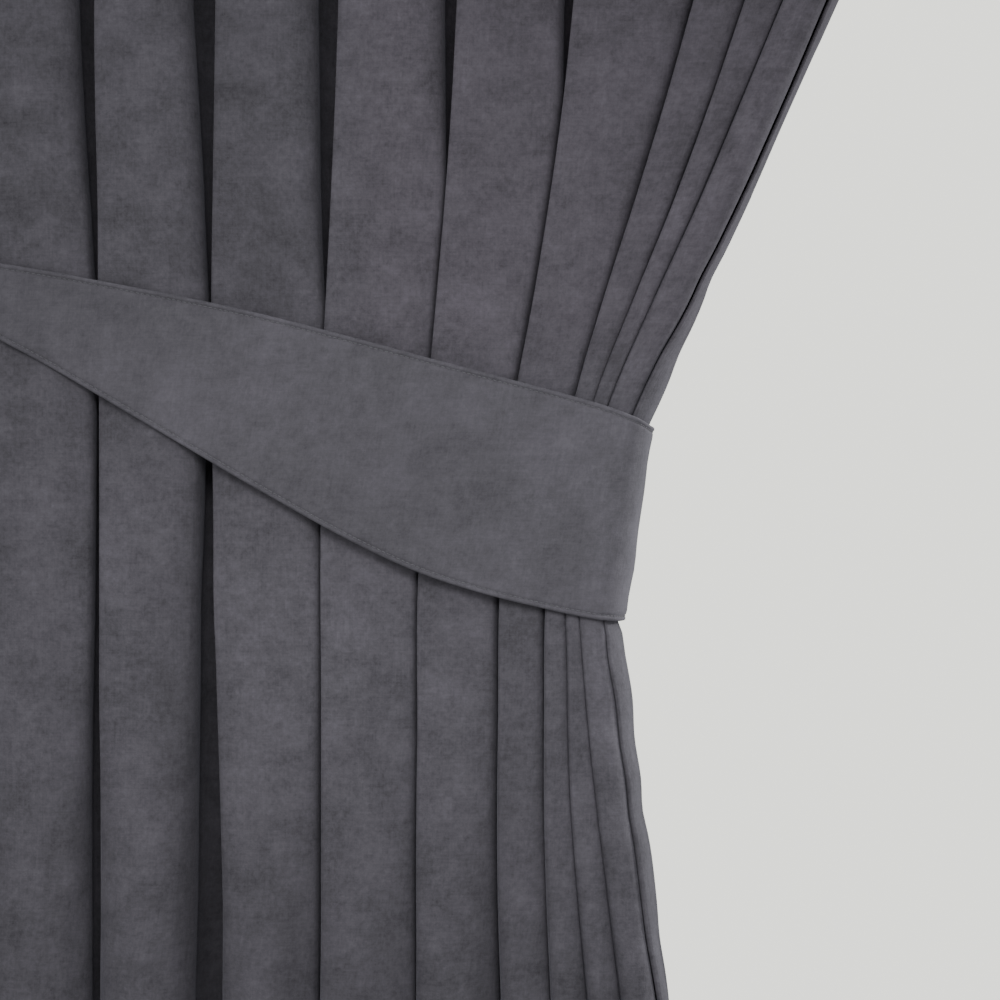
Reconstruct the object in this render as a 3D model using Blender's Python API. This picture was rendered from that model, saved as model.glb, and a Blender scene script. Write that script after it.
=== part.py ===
"""Velvet drape, swept to one side and held by a broad shaped tieback.

Metres, Z up. The drape hangs from its top edge at Z 0 and faces -Y.
Its width runs along X, and its swept leading edge is on the +X side.
A level is a distance below the top edge.
"""

from math import atan2, cos, pi, sin

import bpy
import numpy as np

MM = 0.001

# Main sizes
drop = 2.500
cloth_thickness = 0.0016
band_thickness = 0.0030
band_clearance = 0.0014

# The drape sweeps aside below sweep_start and hangs freely from free_start to its hem
sweep_start = 1.187
free_start = 1.800

# Side edges round off over this width, down to a share of the full depth
edge_round = 0.016
outer_edge_share = 0.55
leading_edge_share = 0.30

# Crisp front edge of each fold, in millimetres from the middle of the top edge.
# top: place at the top edge
# lean: sideways travel per metre of height at sweep_start
# cloth: length of cloth from this edge to the next
# soft: width over which the face turns softly into the opening beside it
fold_columns = ("top", "lean", "cloth", "soft")
fold_table = [
    (-420, 0.010, 95, 8),
    (-387, 0.010, 150, 12),
    (-312, 0.008, 156, 10),
    (-230, 0.013, 150, 19),
    (-150, 0.033, 146, 12),
    (-60, 0.052, 150, 12),
    (36, 0.100, 156, 12),
    (138, 0.280, 146, 7),
    (228, 0.340, 140, 7),
    (312, 0.415, 150, 6),
    (393, 0.430, 48, 0),
    (420, 0.450, 0, 0),
]

# Places of those edges in millimetres, one column for each sweep level
sweep_levels = [
    1.187, 1.247, 1.307, 1.367, 1.427, 1.447, 1.499, 1.556, 1.575, 1.619, 1.667, 1.727, 1.787, 2.500,
]
sweep_table = [
    (-414, -413.5, -412, -409.5, -407.5, -407, -406, -405.5, -405.5, -405.5, -405.5, -405.5, -406, -409.5),
    (-382, -381.5, -380, -378.5, -377, -376.5, -375.5, -375.5, -375.5, -375.5, -375.5, -375.5, -376, -378.5),
    (-308, -307.5, -306, -305.5, -305, -305, -305, -305, -305, -305, -304.5, -304, -303.5, -301),
    (-234.7, -235.5, -236.4, -237, -237, -236.5, -235.6, -235.2, -234.4, -233, -231.6, -230.3, -230, -225),
    (-160.4, -162.4, -165, -168, -171, -171, -171, -171, -170.8, -170.6, -170.6, -170.8, -171.3, -167),
    (-88.8, -91.9, -96.1, -101.3, -106.4, -107.7, -110.3, -112.6, -112.7, -112.4, -113, -113.3, -113, -106),
    (-18.4, -24.7, -33, -42.8, -53.9, -56.6, -60.5, -63.2, -63.5, -63.5, -63.8, -63.4, -61.9, -50),
    (53.8, 37, 18.8, -0.3, -17.5, -22.3, -29.8, -35.1, -35.5, -35.4, -35.1, -33.4, -31, -8),
    (84.9, 64.5, 42.4, 18, -5.5, -11.6, -18.2, -22.8, -22, -21.3, -19.6, -14.9, -9.3, 27),
    (107.9, 83, 57.8, 30.2, 4.1, -2.9, -10.2, -14.7, -13.3, -9.6, -4.3, 3.2, 10.5, 61),
    (135.5, 109.8, 82.2, 53.2, 21.6, 13.3, 6.5, -0.7, 1.5, 8.5, 15, 23.7, 33.2, 96),
    (140, 113, 85.8, 59.1, 33.4, 24.5, 15.5, 6.5, 10.8, 16.9, 21.9, 30.6, 38, 110),
]

# Opening in millimetres between a fold's face and the next edge, one column for each gap level
gap_levels = [0.0, 1.187, 1.295, 1.375, 1.560, 1.667, 1.787, 2.500]
gap_table = [
    (11.0, 12.0, 8.0, 3.6, 6.0, 10.0, 12.0, 12.0),
    (10.0, 12.0, 8.0, 3.6, 5.0, 8.0, 9.0, 10.0),
    (15.0, 16.0, 8.0, 3.6, 11.0, 15.5, 19.0, 19.0),
    (12.0, 14.0, 9.0, 3.6, 3.4, 3.4, 4.0, 8.0),
    (8.0, 8.5, 3.6, 3.4, 3.4, 3.4, 4.0, 8.0),
    (7.0, 6.5, 3.6, 3.4, 3.4, 3.4, 4.0, 7.0),
    (6.0, 4.4, 3.6, 3.4, 3.4, 3.4, 4.4, 7.0),
    (5.0, 3.6, 3.6, 3.6, 3.6, 3.6, 3.6, 5.0),
    (4.6, 3.6, 3.6, 3.6, 3.6, 3.6, 3.6, 4.6),
    (4.6, 3.8, 3.6, 3.6, 3.6, 3.6, 3.6, 4.0),
]

# Share of the soft turn's width that is left at each soft level. The band presses the folds shut.
soft_levels = [0.0, 1.187, 1.375, 1.560, 1.667, 1.787, 2.500]
soft_shares = [1.0, 1.0, 0.5, 0.5, 0.8, 1.1, 1.2]

soft_turn_depth = 0.016
widest_soft_face = 0.050
most_turn_share = 0.36
most_soft_share = 0.42

# Where the cloth runs back and loops, as shares of the pitch, in a packed and in an open fold
packed_leg, open_leg_tuck = 0.54, 0.015
packed_loop, open_loop = 0.78, 1.02
packed_pitch, open_pitch = 0.010, 0.065
most_gap_share = 0.42

# Levels of the mesh rows
row_levels = [
    0.0, 0.22, 0.44, 0.64, 0.82, 0.97, 1.09, 1.187, 1.26, 1.33, 1.39, 1.43, 1.455,
    1.49, 1.525, 1.55, 1.564, 1.58, 1.62, 1.68, 1.74, 1.80, 1.93, 2.08, 2.28, 2.50,
]

# Upper and lower edge of the band, as levels in millimetres.
# along: 0 at the wall end, 1 at the turn round the leading edge
band_columns = ("along", "upper", "lower")
band_table = [
    (0.00, 1334.0, 1358.0),
    (0.10, 1339.5, 1374.0),
    (0.20, 1347.5, 1398.5),
    (0.30, 1357.5, 1426.5),
    (0.40, 1368.0, 1454.0),
    (0.50, 1380.0, 1482.0),
    (0.60, 1393.0, 1508.4),
    (0.70, 1406.2, 1530.1),
    (0.80, 1418.9, 1545.1),
    (0.85, 1425.3, 1550.9),
    (0.90, 1432.2, 1556.3),
    (0.93, 1437.2, 1558.8),
    (0.96, 1441.1, 1559.9),
    (1.00, 1442.6, 1560.2),
]
wall_end = (-0.446, 0.010)
band_rows = 7
widest_corner_step = 0.20
turn_reach = 0.25 * MM
direction_step = 0.01


def column(table, columns, name):
    """One named column of a table."""
    place = columns.index(name)
    return [row[place] for row in table]


def smooth_curve(levels, values, start_slope=None):
    """A smooth curve through every value, as levels, values and slopes."""
    levels = np.array(levels, float)
    values = np.array(values, float)
    steps = np.diff(levels)
    rises = np.diff(values) / steps
    slopes = np.zeros(len(levels))
    slopes[1:-1] = (rises[:-1] * steps[1:] + rises[1:] * steps[:-1]) / (steps[:-1] + steps[1:])
    slopes[0] = rises[0] if start_slope is None else start_slope
    slopes[-1] = 0.5 * rises[-1]
    return levels, values, slopes


def read_curve(curve, level):
    """Value of a smooth curve at one level."""
    levels, values, slopes = curve
    index = int(np.clip(np.searchsorted(levels, level) - 1, 0, len(levels) - 2))
    step = levels[index + 1] - levels[index]
    t = min(max((level - levels[index]) / step, 0.0), 1.0)
    from_start = (1 + 2 * t) * (1 - t) ** 2 * values[index] + t * (1 - t) ** 2 * step * slopes[index]
    from_end = t * t * (3 - 2 * t) * values[index + 1] + t * t * (t - 1) * step * slopes[index + 1]
    return from_start + from_end


def ease(value):
    """Soft step from 0 to 1."""
    value = min(max(value, 0.0), 1.0)
    return value * value * (3 - 2 * value)


tops = [MM * value for value in column(fold_table, fold_columns, "top")]
leans = column(fold_table, fold_columns, "lean")
cloths = [MM * value for value in column(fold_table, fold_columns, "cloth")]
softs = [MM * value for value in column(fold_table, fold_columns, "soft")]
sweeps = []
for sweep, lean in zip(sweep_table, leans):
    sweeps.append(smooth_curve(sweep_levels, [MM * value for value in sweep], -lean))


def edge_place(number, level):
    """Sideways place of one fold's front edge. It leaves the top edge plumb and swings into the sweep."""
    if level >= sweep_start:
        return read_curve(sweeps[number], level)
    travel = tops[number] - read_curve(sweeps[number], sweep_start)
    power = 1.0
    if leans[number] > 0 and travel > 0:
        power = max(1.2, leans[number] * sweep_start / travel)
    return tops[number] - travel * (level / sweep_start) ** power


def fold_outline(pitch, gap, soft, depth, overhang):
    """One fold in plan: crisp edge, face, soft turn, then a loop at the back."""
    face = pitch - gap
    soft = min(soft, most_soft_share * face)
    turn = min(soft_turn_depth * min(1.0, face / widest_soft_face), most_turn_share * depth)
    open_share = ease((pitch - packed_pitch) / (open_pitch - packed_pitch))
    leg = (1 - open_share) * packed_leg * pitch + open_share * (face - open_leg_tuck * pitch)
    loop = ((1 - open_share) * packed_loop + open_share * open_loop) * pitch + 0.5 * overhang
    return [
        (0.0, 0.25 * turn),
        (0.30 * face, -0.08 * turn),
        (face - soft, -0.05 * turn),
        (face - 0.36 * soft, 0.25 * turn),
        (face, turn),
        (leg, 0.62 * depth),
        (loop, depth),
        (pitch + overhang, 0.80 * depth),
        (pitch + 0.65 * overhang, 0.36 * depth),
    ]


def outline_length(points):
    """Length of cloth along a run of points in plan."""
    return float(np.hypot(*np.diff(np.array(points), axis=0).T).sum())


def fold_depth(pitch, gap, soft, overhang, cloth):
    """Depth at which a fold takes up its own length of cloth."""
    depth = 0.045
    for _ in range(12):
        points = fold_outline(pitch, gap, soft, depth, overhang)
        points.append((pitch, points[0][1]))
        depth = max(0.010, depth + 0.5 * (cloth - outline_length(points)))
    return depth


def edge_squeeze(distance, least):
    """Share of the full depth that is left at a distance from a side edge."""
    if distance >= edge_round:
        return 1.0
    return max(least, (1 - (1 - max(distance, 0.0) / edge_round) ** 2) ** 0.5)


def leading_end(start, edge, half, cloth):
    """Last stretch of cloth in plan: round the leading edge, then back to its side hem."""
    width = edge - start
    points = []
    for share in (1.00, 0.45, 0.10):
        points.append((edge - share * width, -half * edge_squeeze(share * width, leading_edge_share)))
    used = outline_length(points)
    front = -0.22 * half
    tail = max(0.008, cloth - used - 0.4 * half)
    points.append((edge, front))
    points.append((edge, front + 0.45 * tail))
    points.append((edge - 0.75 * cloth_thickness, front + tail))
    return points


def section(level):
    """Middle line of the cloth in plan at one level, from the outer to the leading edge."""
    places = [edge_place(number, level) for number in range(len(fold_table))]
    pitches = np.diff(places)
    gaps = [MM * float(np.interp(level, gap_levels, row)) for row in gap_table]
    soft_share = float(np.interp(level, soft_levels, soft_shares))
    folds = len(pitches) - 1
    outlines, depths = [], []
    for number in range(folds):
        room = 0.26 if number < folds - 1 else 0.10
        overhang = min(0.18 * pitches[number], room * pitches[number + 1])
        gap = min(gaps[number], most_gap_share * pitches[number])
        soft = soft_share * softs[number]
        depth = fold_depth(pitches[number], gap, soft, overhang, cloths[number])
        outlines.append(fold_outline(pitches[number], gap, soft, depth, overhang))
        depths.append(depth)
    around = [depths[0]] + depths + [depths[-1]]
    fronts = [-0.25 * (before + after) for before, after in zip(around[:-1], around[1:])]
    points = []
    for number, outline in enumerate(outlines):
        for step, (across, back) in enumerate(outline):
            share = step / len(outline)
            front = (1 - share) * fronts[number] + share * fronts[number + 1]
            x = places[number] + across
            squeeze = edge_squeeze(places[-1] - x, leading_edge_share)
            squeeze *= edge_squeeze(x - places[0], outer_edge_share)
            points.append((x, squeeze * (front + back)))
    points += leading_end(places[folds], places[-1], -fronts[folds], cloths[folds])
    return np.array(points)


def hem_levels(count):
    """Level of the hem at each column. A swept column travels further, so it ends higher."""
    fine = np.linspace(0.0, drop, 120)
    ends = []
    for number in range(len(fold_table)):
        places = np.array([edge_place(number, level) for level in fine])
        lengths = np.concatenate([[0.0], np.cumsum(np.hypot(np.diff(places), np.diff(fine)))])
        ends.append(np.interp(drop, lengths, fine))
    return np.interp(np.linspace(0, len(ends) - 1, count), np.arange(len(ends)), ends)


def drape_grid():
    """Grid of points on the middle of the cloth, rows from the top edge to the hem."""
    ends = hem_levels(len(section(0.0)))
    rows = []
    for level in row_levels:
        plan = section(level)
        below = max(0.0, (level - free_start) / (drop - free_start))
        levels = level + below * (ends - drop)
        rows.append(np.column_stack([plan, -levels]))
    return np.array(rows)


def half_hull(points):
    """Lower half of the convex outline of points that are sorted by X."""
    kept = []
    for point in points:
        while len(kept) > 1:
            (ax, ay), (bx, by) = kept[-2], kept[-1]
            if (bx - ax) * (point[1] - ay) > (by - ay) * (point[0] - ax):
                break
            kept.pop()
        kept.append(point)
    return kept[:-1]


def band_loop(level):
    """Path of the band in plan: taut round the folds, from the wall end and back to it."""
    reach = 0.5 * cloth_thickness + band_clearance + 0.5 * band_thickness
    points = sorted([tuple(point) for point in section(level)] + [wall_end])
    hull = half_hull(points) + half_hull(points[::-1])
    start = hull.index(wall_end)
    hull = hull[start:] + hull[:start]
    path = []
    for index, (x, y) in enumerate(hull):
        before = hull[index - 1]
        after = hull[(index + 1) % len(hull)]
        angle_in = atan2(y - before[1], x - before[0]) - pi / 2
        angle_out = atan2(after[1] - y, after[0] - x) - pi / 2
        turn = (angle_out - angle_in) % (2 * pi)
        angles = np.linspace(angle_in, angle_in + turn, max(2, int(turn / widest_corner_step) + 1))
        if index == 0:
            path_end = (x + reach * cos(angle_in), y + reach * sin(angle_in))
            angles = [angle_out]
        path += [(x + reach * cos(angle), y + reach * sin(angle)) for angle in angles]
    path.append(path_end)
    return np.array(path)


def taut_place(share, level, front):
    """Place in plan of a string drawn round the folds at one level, on the front or the back run."""
    path = band_loop(level)
    lengths = np.concatenate([[0.0], np.cumsum(np.hypot(*np.diff(path, axis=0).T))])
    outmost = lengths[path[:, 0] > path[:, 0].max() - turn_reach]
    turn = 0.5 * (outmost.min() + outmost.max())
    distance = share * turn if front else lengths[-1] - share * (lengths[-1] - turn)
    return np.array([np.interp(distance, lengths, path[:, axis]) for axis in (0, 1)])


def band_column(along):
    """Middle points across the band: straight from edge to edge, or out on folds that stand proud."""
    shares = column(band_table, band_columns, "along")
    share = min(along, 2 - along)
    upper, lower = (
        MM * read_curve(smooth_curve(shares, column(band_table, band_columns, name)), share)
        for name in ("upper", "lower")
    )
    ends = [taut_place(share, level, along <= 1) for level in (upper, lower)]
    points = []
    for down in np.linspace(0.0, 1.0, band_rows):
        level = (1 - down) * upper + down * lower
        straight = (1 - down) * ends[0] + down * ends[1]
        taut = taut_place(share, level, along <= 1)
        ahead = taut_place(share + direction_step, level, along <= 1)
        ahead -= taut_place(share - direction_step, level, along <= 1)
        outward = np.array([ahead[1], -ahead[0]]) / np.hypot(*ahead)
        if along > 1:
            outward = -outward
        proud = max(0.0, float(np.dot(taut - straight, outward)))
        points.append([*(straight + proud * outward), -level])
    return points


def band_stations():
    """Places along the band, closer together where it turns round an edge of the drape."""
    front = [*np.linspace(0.0, 0.06, 3), *np.linspace(0.075, 0.165, 7)]
    front += [*np.linspace(0.22, 0.82, 9), *np.linspace(0.85, 0.99, 15)]
    return front + [1.0] + [2 - share for share in reversed(front)]


def band_grid():
    """Grid of points on the middle of the band, rows from its upper to its lower edge."""
    return np.array([band_column(along) for along in band_stations()]).transpose(1, 0, 2)


def cloth_solid(name, grid, thickness, material):
    """Closed solid from a grid of middle points, thickened to both sides."""
    rows, columns, _ = grid.shape
    faces = []
    for row in range(rows - 1):
        for place in range(columns - 1):
            corner = row * columns + place
            faces.append((corner, corner + columns, corner + columns + 1, corner + 1))
    mesh = bpy.data.meshes.new(name)
    mesh.from_pydata(grid.reshape(-1, 3).tolist(), [], faces)
    mesh.shade_smooth()
    mesh.materials.append(material)
    solid = bpy.data.objects.new(name, mesh)
    bpy.context.scene.collection.objects.link(solid)
    thicken = solid.modifiers.new("thickness", "SOLIDIFY")
    thicken.thickness = thickness
    thicken.offset = 0.0
    return solid


def cloth_material(name, colour):
    """Matt cloth in one plain colour."""
    material = bpy.data.materials.new(name)
    material.use_nodes = True
    shader = material.node_tree.nodes["Principled BSDF"]
    shader.inputs["Base Color"].default_value = (*colour, 1.0)
    shader.inputs["Roughness"].default_value = 0.9
    return material


for old in list(bpy.data.objects):
    bpy.data.objects.remove(old, do_unlink=True)

velvet = cloth_material("velvet", (0.100, 0.098, 0.112))
band_velvet = cloth_material("band velvet", (0.112, 0.109, 0.125))
cloth_solid("drape", drape_grid(), cloth_thickness, velvet)
cloth_solid("tieback", band_grid(), band_thickness, band_velvet)
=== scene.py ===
# %% [markdown]
# # A velvet drape held back by a broad tieback
#
# The real thing is one long piece of dark velvet that hangs in deep folds. A shaped band of the
# same velvet is drawn round it at waist height, so its inner edge sweeps aside and swings out again
# below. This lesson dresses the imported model: it keeps the model's sizes and gives each piece its
# cloth. Everything is in metres, the top edge is at height 0, and the drape faces -Y.

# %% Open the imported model
from math import atan2, cos, exp, pi, sin

import bpy
import numpy as np
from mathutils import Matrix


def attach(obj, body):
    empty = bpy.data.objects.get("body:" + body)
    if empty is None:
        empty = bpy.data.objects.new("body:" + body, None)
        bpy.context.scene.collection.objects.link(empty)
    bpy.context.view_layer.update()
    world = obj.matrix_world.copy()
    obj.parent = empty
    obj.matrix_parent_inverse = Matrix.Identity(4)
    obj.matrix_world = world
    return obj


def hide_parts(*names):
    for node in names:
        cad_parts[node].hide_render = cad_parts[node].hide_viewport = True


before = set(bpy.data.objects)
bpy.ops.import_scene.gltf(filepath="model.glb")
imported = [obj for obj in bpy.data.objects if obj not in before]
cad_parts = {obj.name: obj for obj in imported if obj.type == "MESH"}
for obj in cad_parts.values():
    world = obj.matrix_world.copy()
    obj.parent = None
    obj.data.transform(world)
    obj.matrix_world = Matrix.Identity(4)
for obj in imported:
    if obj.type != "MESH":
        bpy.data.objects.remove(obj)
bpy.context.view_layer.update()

# %% [markdown]
# ## The camera
#
# The camera comes first, so that each piece can be judged from it at once. It looks straight at the
# drape's face, at the height of the band, through a long lens. A long lens from further back keeps
# the folds at the sides from being seen round their corners.

# %% Camera
MM = 0.001
view_width = 0.600
view_centre = (-0.063, -1.487)
front_plane = -0.030
lens = 100.0
sensor = 36.0


def add_object(name, data):
    """New object in the scene, at the origin."""
    made = bpy.data.objects.new(name, data)
    bpy.context.scene.collection.objects.link(made)
    return made


camera_data = bpy.data.cameras.new("camera")
camera_data.lens = lens
camera_data.sensor_width = sensor
camera_data.dof.use_dof = False
camera = add_object("camera", camera_data)
bpy.context.scene.camera = camera
distance = view_width * lens / sensor
camera.location = (view_centre[0], front_plane - distance, view_centre[1])
camera.rotation_euler = (pi / 2, 0.0, 0.0)
print("camera is", round(distance, 3), "m from the folds")

# %% [markdown]
# ## Where the folds run
#
# Each fold has a crisp front edge. The table says where that edge is at the top, how much it leans
# where the sweep starts, and where it runs between there and the hem. It also says how much cloth
# the fold takes up, and how wide its soft side is. A table was chosen over a wave formula because
# real folds are uneven, and each can then be moved by itself. The columns are in millimetres, and
# a level is a distance below the top edge in metres.

# %% Table of folds
drop = 2.500
cloth_thickness = 0.0015
sweep_start = 1.187
free_start = 1.800
sweep_levels = [
    1.187, 1.247, 1.307, 1.367, 1.427, 1.447, 1.499, 1.556, 1.575, 1.619, 1.667, 1.727, 1.787, 2.500,
]
fold_columns = ("top", "lean", "cloth", "soft")
fold_table = [
    (-420, 0.010, 95, 8),
    (-387, 0.010, 150, 12),
    (-312, 0.008, 156, 10),
    (-230, 0.013, 150, 19),
    (-150, 0.033, 146, 12),
    (-60, 0.052, 150, 12),
    (36, 0.100, 156, 14),
    (138, 0.280, 146, 12),
    (228, 0.340, 140, 11),
    (312, 0.415, 150, 10),
    (393, 0.430, 48, 0),
    (420, 0.450, 0, 0),
]
sweep_table = [
    (-414, -413.5, -412, -409.5, -407.5, -407, -406, -405.5, -405.5, -405.5, -405.5, -405.5, -406, -409.5),
    (-382, -381.5, -380, -378.5, -377, -376.5, -375.5, -375.5, -375.5, -375.5, -375.5, -375.5, -376, -378.5),
    (-308, -307.5, -306, -305.5, -305, -305, -305, -305, -305, -305, -304.5, -304, -303.5, -301),
    (-234.7, -235.5, -236.4, -237, -237, -236.5, -235.6, -235.2, -234.4, -233, -231.6, -230.3, -230, -225),
    (-160.4, -162.4, -165, -168, -171, -171, -171, -171, -170.8, -170.6, -170.6, -170.8, -171.3, -167),
    (-88.8, -91.9, -96.1, -101.3, -106.4, -107.7, -110.3, -112.6, -112.7, -112.4, -113, -113.3, -113, -106),
    (-18.4, -24.7, -33, -42.8, -53.9, -56.6, -60.5, -63.2, -63.5, -63.5, -63.8, -63.4, -61.9, -50),
    (53.8, 37, 18.8, -0.3, -17.5, -22.3, -29.8, -35.1, -35.5, -35.4, -35.1, -33.4, -31, -8),
    (84.9, 64.5, 42.4, 18, -5.5, -11.6, -18.2, -22.8, -22, -21.3, -19.6, -14.9, -9.3, 27),
    (107.9, 83, 57.8, 30.2, 4.1, -2.9, -10.2, -14.7, -13.3, -9.6, -4.3, 3.2, 10.5, 61),
    (135.5, 109.8, 82.2, 53.2, 21.6, 13.3, 6.5, -0.7, 1.5, 8.5, 15, 23.7, 33.2, 96),
    (140, 113, 85.8, 59.1, 33.4, 24.5, 15.5, 6.5, 10.8, 16.9, 21.9, 30.6, 38, 110),
]
print(len(fold_table) - 2, "folds between the outer and the leading edge")


def column(table, columns, name):
    """One named column of a table."""
    place = columns.index(name)
    return [row[place] for row in table]


# %% [markdown]
# ## How far the folds stand open
#
# Above the band the folds stand apart and show dark channels between them. The band presses them
# shut, and below it they open again, the third one most of all. So the opening beside each fold is
# read from a second table, by level.

# %% Table of openings, in millimetres
gap_levels = [0.0, 1.187, 1.240, 1.295, 1.375, 1.560, 1.667, 1.787, 2.500]
gap_table = [
    (11.0, 12.0, 10.0, 8.0, 3.0, 6.0, 10.0, 12.0, 12.0),
    (10.0, 12.0, 10.0, 8.0, 3.0, 5.0, 8.0, 9.0, 10.0),
    (15.0, 16.0, 12.1, 8.0, 3.0, 11.0, 15.5, 19.5, 19.5),
    (12.0, 14.0, 11.5, 8.6, 1.8, 1.8, 2.4, 2.8, 8.0),
    (8.0, 8.5, 5.4, 1.8, 1.6, 1.6, 1.8, 2.2, 7.0),
    (7.0, 6.2, 2.2, 1.6, 1.6, 1.8, 2.0, 2.4, 6.0),
    (6.0, 2.0, 1.7, 1.7, 1.8, 2.4, 2.4, 2.9, 6.0),
    (5.0, 2.0, 2.1, 2.7, 2.1, 2.0, 2.3, 2.9, 4.0),
    (4.6, 2.3, 2.5, 3.1, 2.6, 1.9, 2.3, 2.9, 3.8),
    (4.6, 3.2, 3.2, 3.2, 3.0, 1.8, 2.5, 3.5, 4.0),
]
soft_levels = [0.0, 1.187, 1.375, 1.560, 1.667, 1.700, 1.760, 2.500]
soft_shares = [1.0, 1.0, 0.50, 0.50, 0.80, 1.00, 1.50, 1.60]


def openings(level):
    """Opening beside each fold at one level, in metres."""
    return [MM * float(np.interp(level, gap_levels, row)) for row in gap_table]


print("openings where the view starts:", [round(1000 * gap, 1) for gap in openings(1.187)])

# %% [markdown]
# ## One fold seen from above
#
# Seen from above, the cloth comes round a crisp edge, runs along the face, turns softly into the
# channel, and loops at the back to the next edge. The depth of the loop isn't chosen: the cloth
# that a fold takes up is fixed, so the depth is what uses it up. That keeps the sheet from
# stretching anywhere.

# %% Edge lines as smooth curves
def smooth_curve(levels, values, start_slope=None):
    """A smooth curve through every value, as levels, values and slopes."""
    levels = np.array(levels, float)
    values = np.array(values, float)
    steps = np.diff(levels)
    rises = np.diff(values) / steps
    slopes = np.zeros(len(levels))
    slopes[1:-1] = (rises[:-1] * steps[1:] + rises[1:] * steps[:-1]) / (steps[:-1] + steps[1:])
    slopes[0] = rises[0] if start_slope is None else start_slope
    slopes[-1] = 0.5 * rises[-1]
    return levels, values, slopes


def read_curve(curve, level):
    """Value of a smooth curve at one level."""
    levels, values, slopes = curve
    index = int(np.clip(np.searchsorted(levels, level) - 1, 0, len(levels) - 2))
    step = levels[index + 1] - levels[index]
    t = min(max((level - levels[index]) / step, 0.0), 1.0)
    from_start = (1 + 2 * t) * (1 - t) ** 2 * values[index] + t * (1 - t) ** 2 * step * slopes[index]
    from_end = t * t * (3 - 2 * t) * values[index + 1] + t * t * (t - 1) * step * slopes[index + 1]
    return from_start + from_end


edge_wave_columns = ("level", "half_length", "shift")
edge_waves = [
    (1.300, 22, 0.8),
    (1.352, 8, -1.2),
    (1.398, 9, -1.2),
    (1.568, 5, 1.3),
    (1.606, 10, 0.8),
    (1.631, 9, -0.8),
    (1.656, 8, 0.7),
    (1.676, 7, -0.8),
    (1.700, 14, 0.8),
    (1.753, 11, -1.1),
    (1.860, 25, 1.6),
    (1.960, 30, -1.8),
    (2.120, 40, 2.0),
    (2.280, 45, -1.8),
]
wave_shares = {10: 0.6, 11: 1.0}
least_power = 1.2
print(len(edge_waves), "waves of the leading edge, each with", edge_wave_columns)

tops = [MM * value for value in column(fold_table, fold_columns, "top")]
leans = column(fold_table, fold_columns, "lean")
cloths = [MM * value for value in column(fold_table, fold_columns, "cloth")]
softs = [MM * value for value in column(fold_table, fold_columns, "soft")]
sweeps = []
for sweep, lean in zip(sweep_table, leans):
    sweeps.append(smooth_curve(sweep_levels, [MM * value for value in sweep], -lean))


def edge_wave(level):
    """Small sideways waves of the leading edge, which nothing holds between the band and the hem."""
    return sum([
        MM * shift * exp(-0.5 * ((level - middle) / (MM * half_length)) ** 2)
        for middle, half_length, shift in edge_waves
    ])


def edge_place(number, level):
    """Sideways place of a fold's front edge. It leaves the top plumb and swings into the sweep."""
    if level >= sweep_start:
        return read_curve(sweeps[number], level) + wave_shares.get(number, 0.0) * edge_wave(level)
    travel = tops[number] - read_curve(sweeps[number], sweep_start)
    power = 1.0
    if leans[number] > 0 and travel > 0:
        power = max(least_power, leans[number] * sweep_start / travel)
    return tops[number] - travel * (level / sweep_start) ** power


print("leading edge at the band:", round(1000 * edge_place(11, 1.5), 1), "mm")

# %% One fold's outline
soft_turn_depth = 0.020
closed_turn_share, round_turn_share = 0.24, 0.46
closed_gap, open_gap = 0.0016, 0.008
edge_recess, round_edge_recess = 0.25, 0.95
face_lead, round_face_lead = 0.30, 0.20
widest_soft_face = 0.050
packed_leg, open_leg_tuck = 0.54, 0.015
packed_loop, open_loop = 0.78, 1.02
packed_pitch, open_pitch = 0.010, 0.065
most_gap_share = most_soft_share = most_turn_share = 0.42
face_dip, soft_dip = -0.08, -0.05
turn_place, more_turn_place = 0.36, 0.14
turn_rise, more_turn_rise = 0.25, 0.08
leg_depth, back_depth, end_depth, end_place = 0.62, 0.80, 0.36, 0.65
first_depth, least_depth, depth_rounds = 0.045, 0.010, 12


def ease(value):
    """Soft step from 0 to 1."""
    value = min(max(value, 0.0), 1.0)
    return value * value * (3 - 2 * value)


def fold_outline(pitch, gap, soft, depth, overhang, roundness):
    """Nine points of one fold in plan: crisp edge, face, soft turn, then a loop at the back."""
    face = pitch - gap
    soft = min(soft, most_soft_share * face)
    turn = min(soft_turn_depth * min(1.0, face / widest_soft_face), most_turn_share * depth)
    closed_share = closed_turn_share + roundness * (round_turn_share - closed_turn_share)
    turn *= float(np.interp(gap, (closed_gap, open_gap), (closed_share, 1.0)))
    recess = edge_recess + roundness * (round_edge_recess - edge_recess)
    lead = face_lead + roundness * (round_face_lead - face_lead)
    open_share = ease((pitch - packed_pitch) / (open_pitch - packed_pitch))
    leg = (1 - open_share) * packed_leg * pitch + open_share * (face - open_leg_tuck * pitch)
    loop = ((1 - open_share) * packed_loop + open_share * open_loop) * pitch + 0.5 * overhang
    turn_x = face - (turn_place + more_turn_place * roundness) * soft
    return [
        (0.0, recess * turn),
        (lead * face, face_dip * turn),
        (face - soft, soft_dip * turn),
        (turn_x, (turn_rise + more_turn_rise * roundness) * turn),
        (face, turn),
        (leg, leg_depth * depth),
        (loop, depth),
        (pitch + overhang, back_depth * depth),
        (pitch + end_place * overhang, end_depth * depth),
    ]


def outline_length(points):
    """Length of cloth along a run of points in plan."""
    return float(np.hypot(*np.diff(np.array(points), axis=0).T).sum())


def fold_depth(pitch, gap, soft, overhang, roundness, cloth):
    """Depth at which a fold takes up its own length of cloth."""
    depth = first_depth
    for _ in range(depth_rounds):
        points = fold_outline(pitch, gap, soft, depth, overhang, roundness)
        points.append((pitch, points[0][1]))
        # A fold has two legs, so each takes half of the cloth that is still to place.
        depth = max(least_depth, depth + 0.5 * (cloth - outline_length(points)))
    return depth


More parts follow.
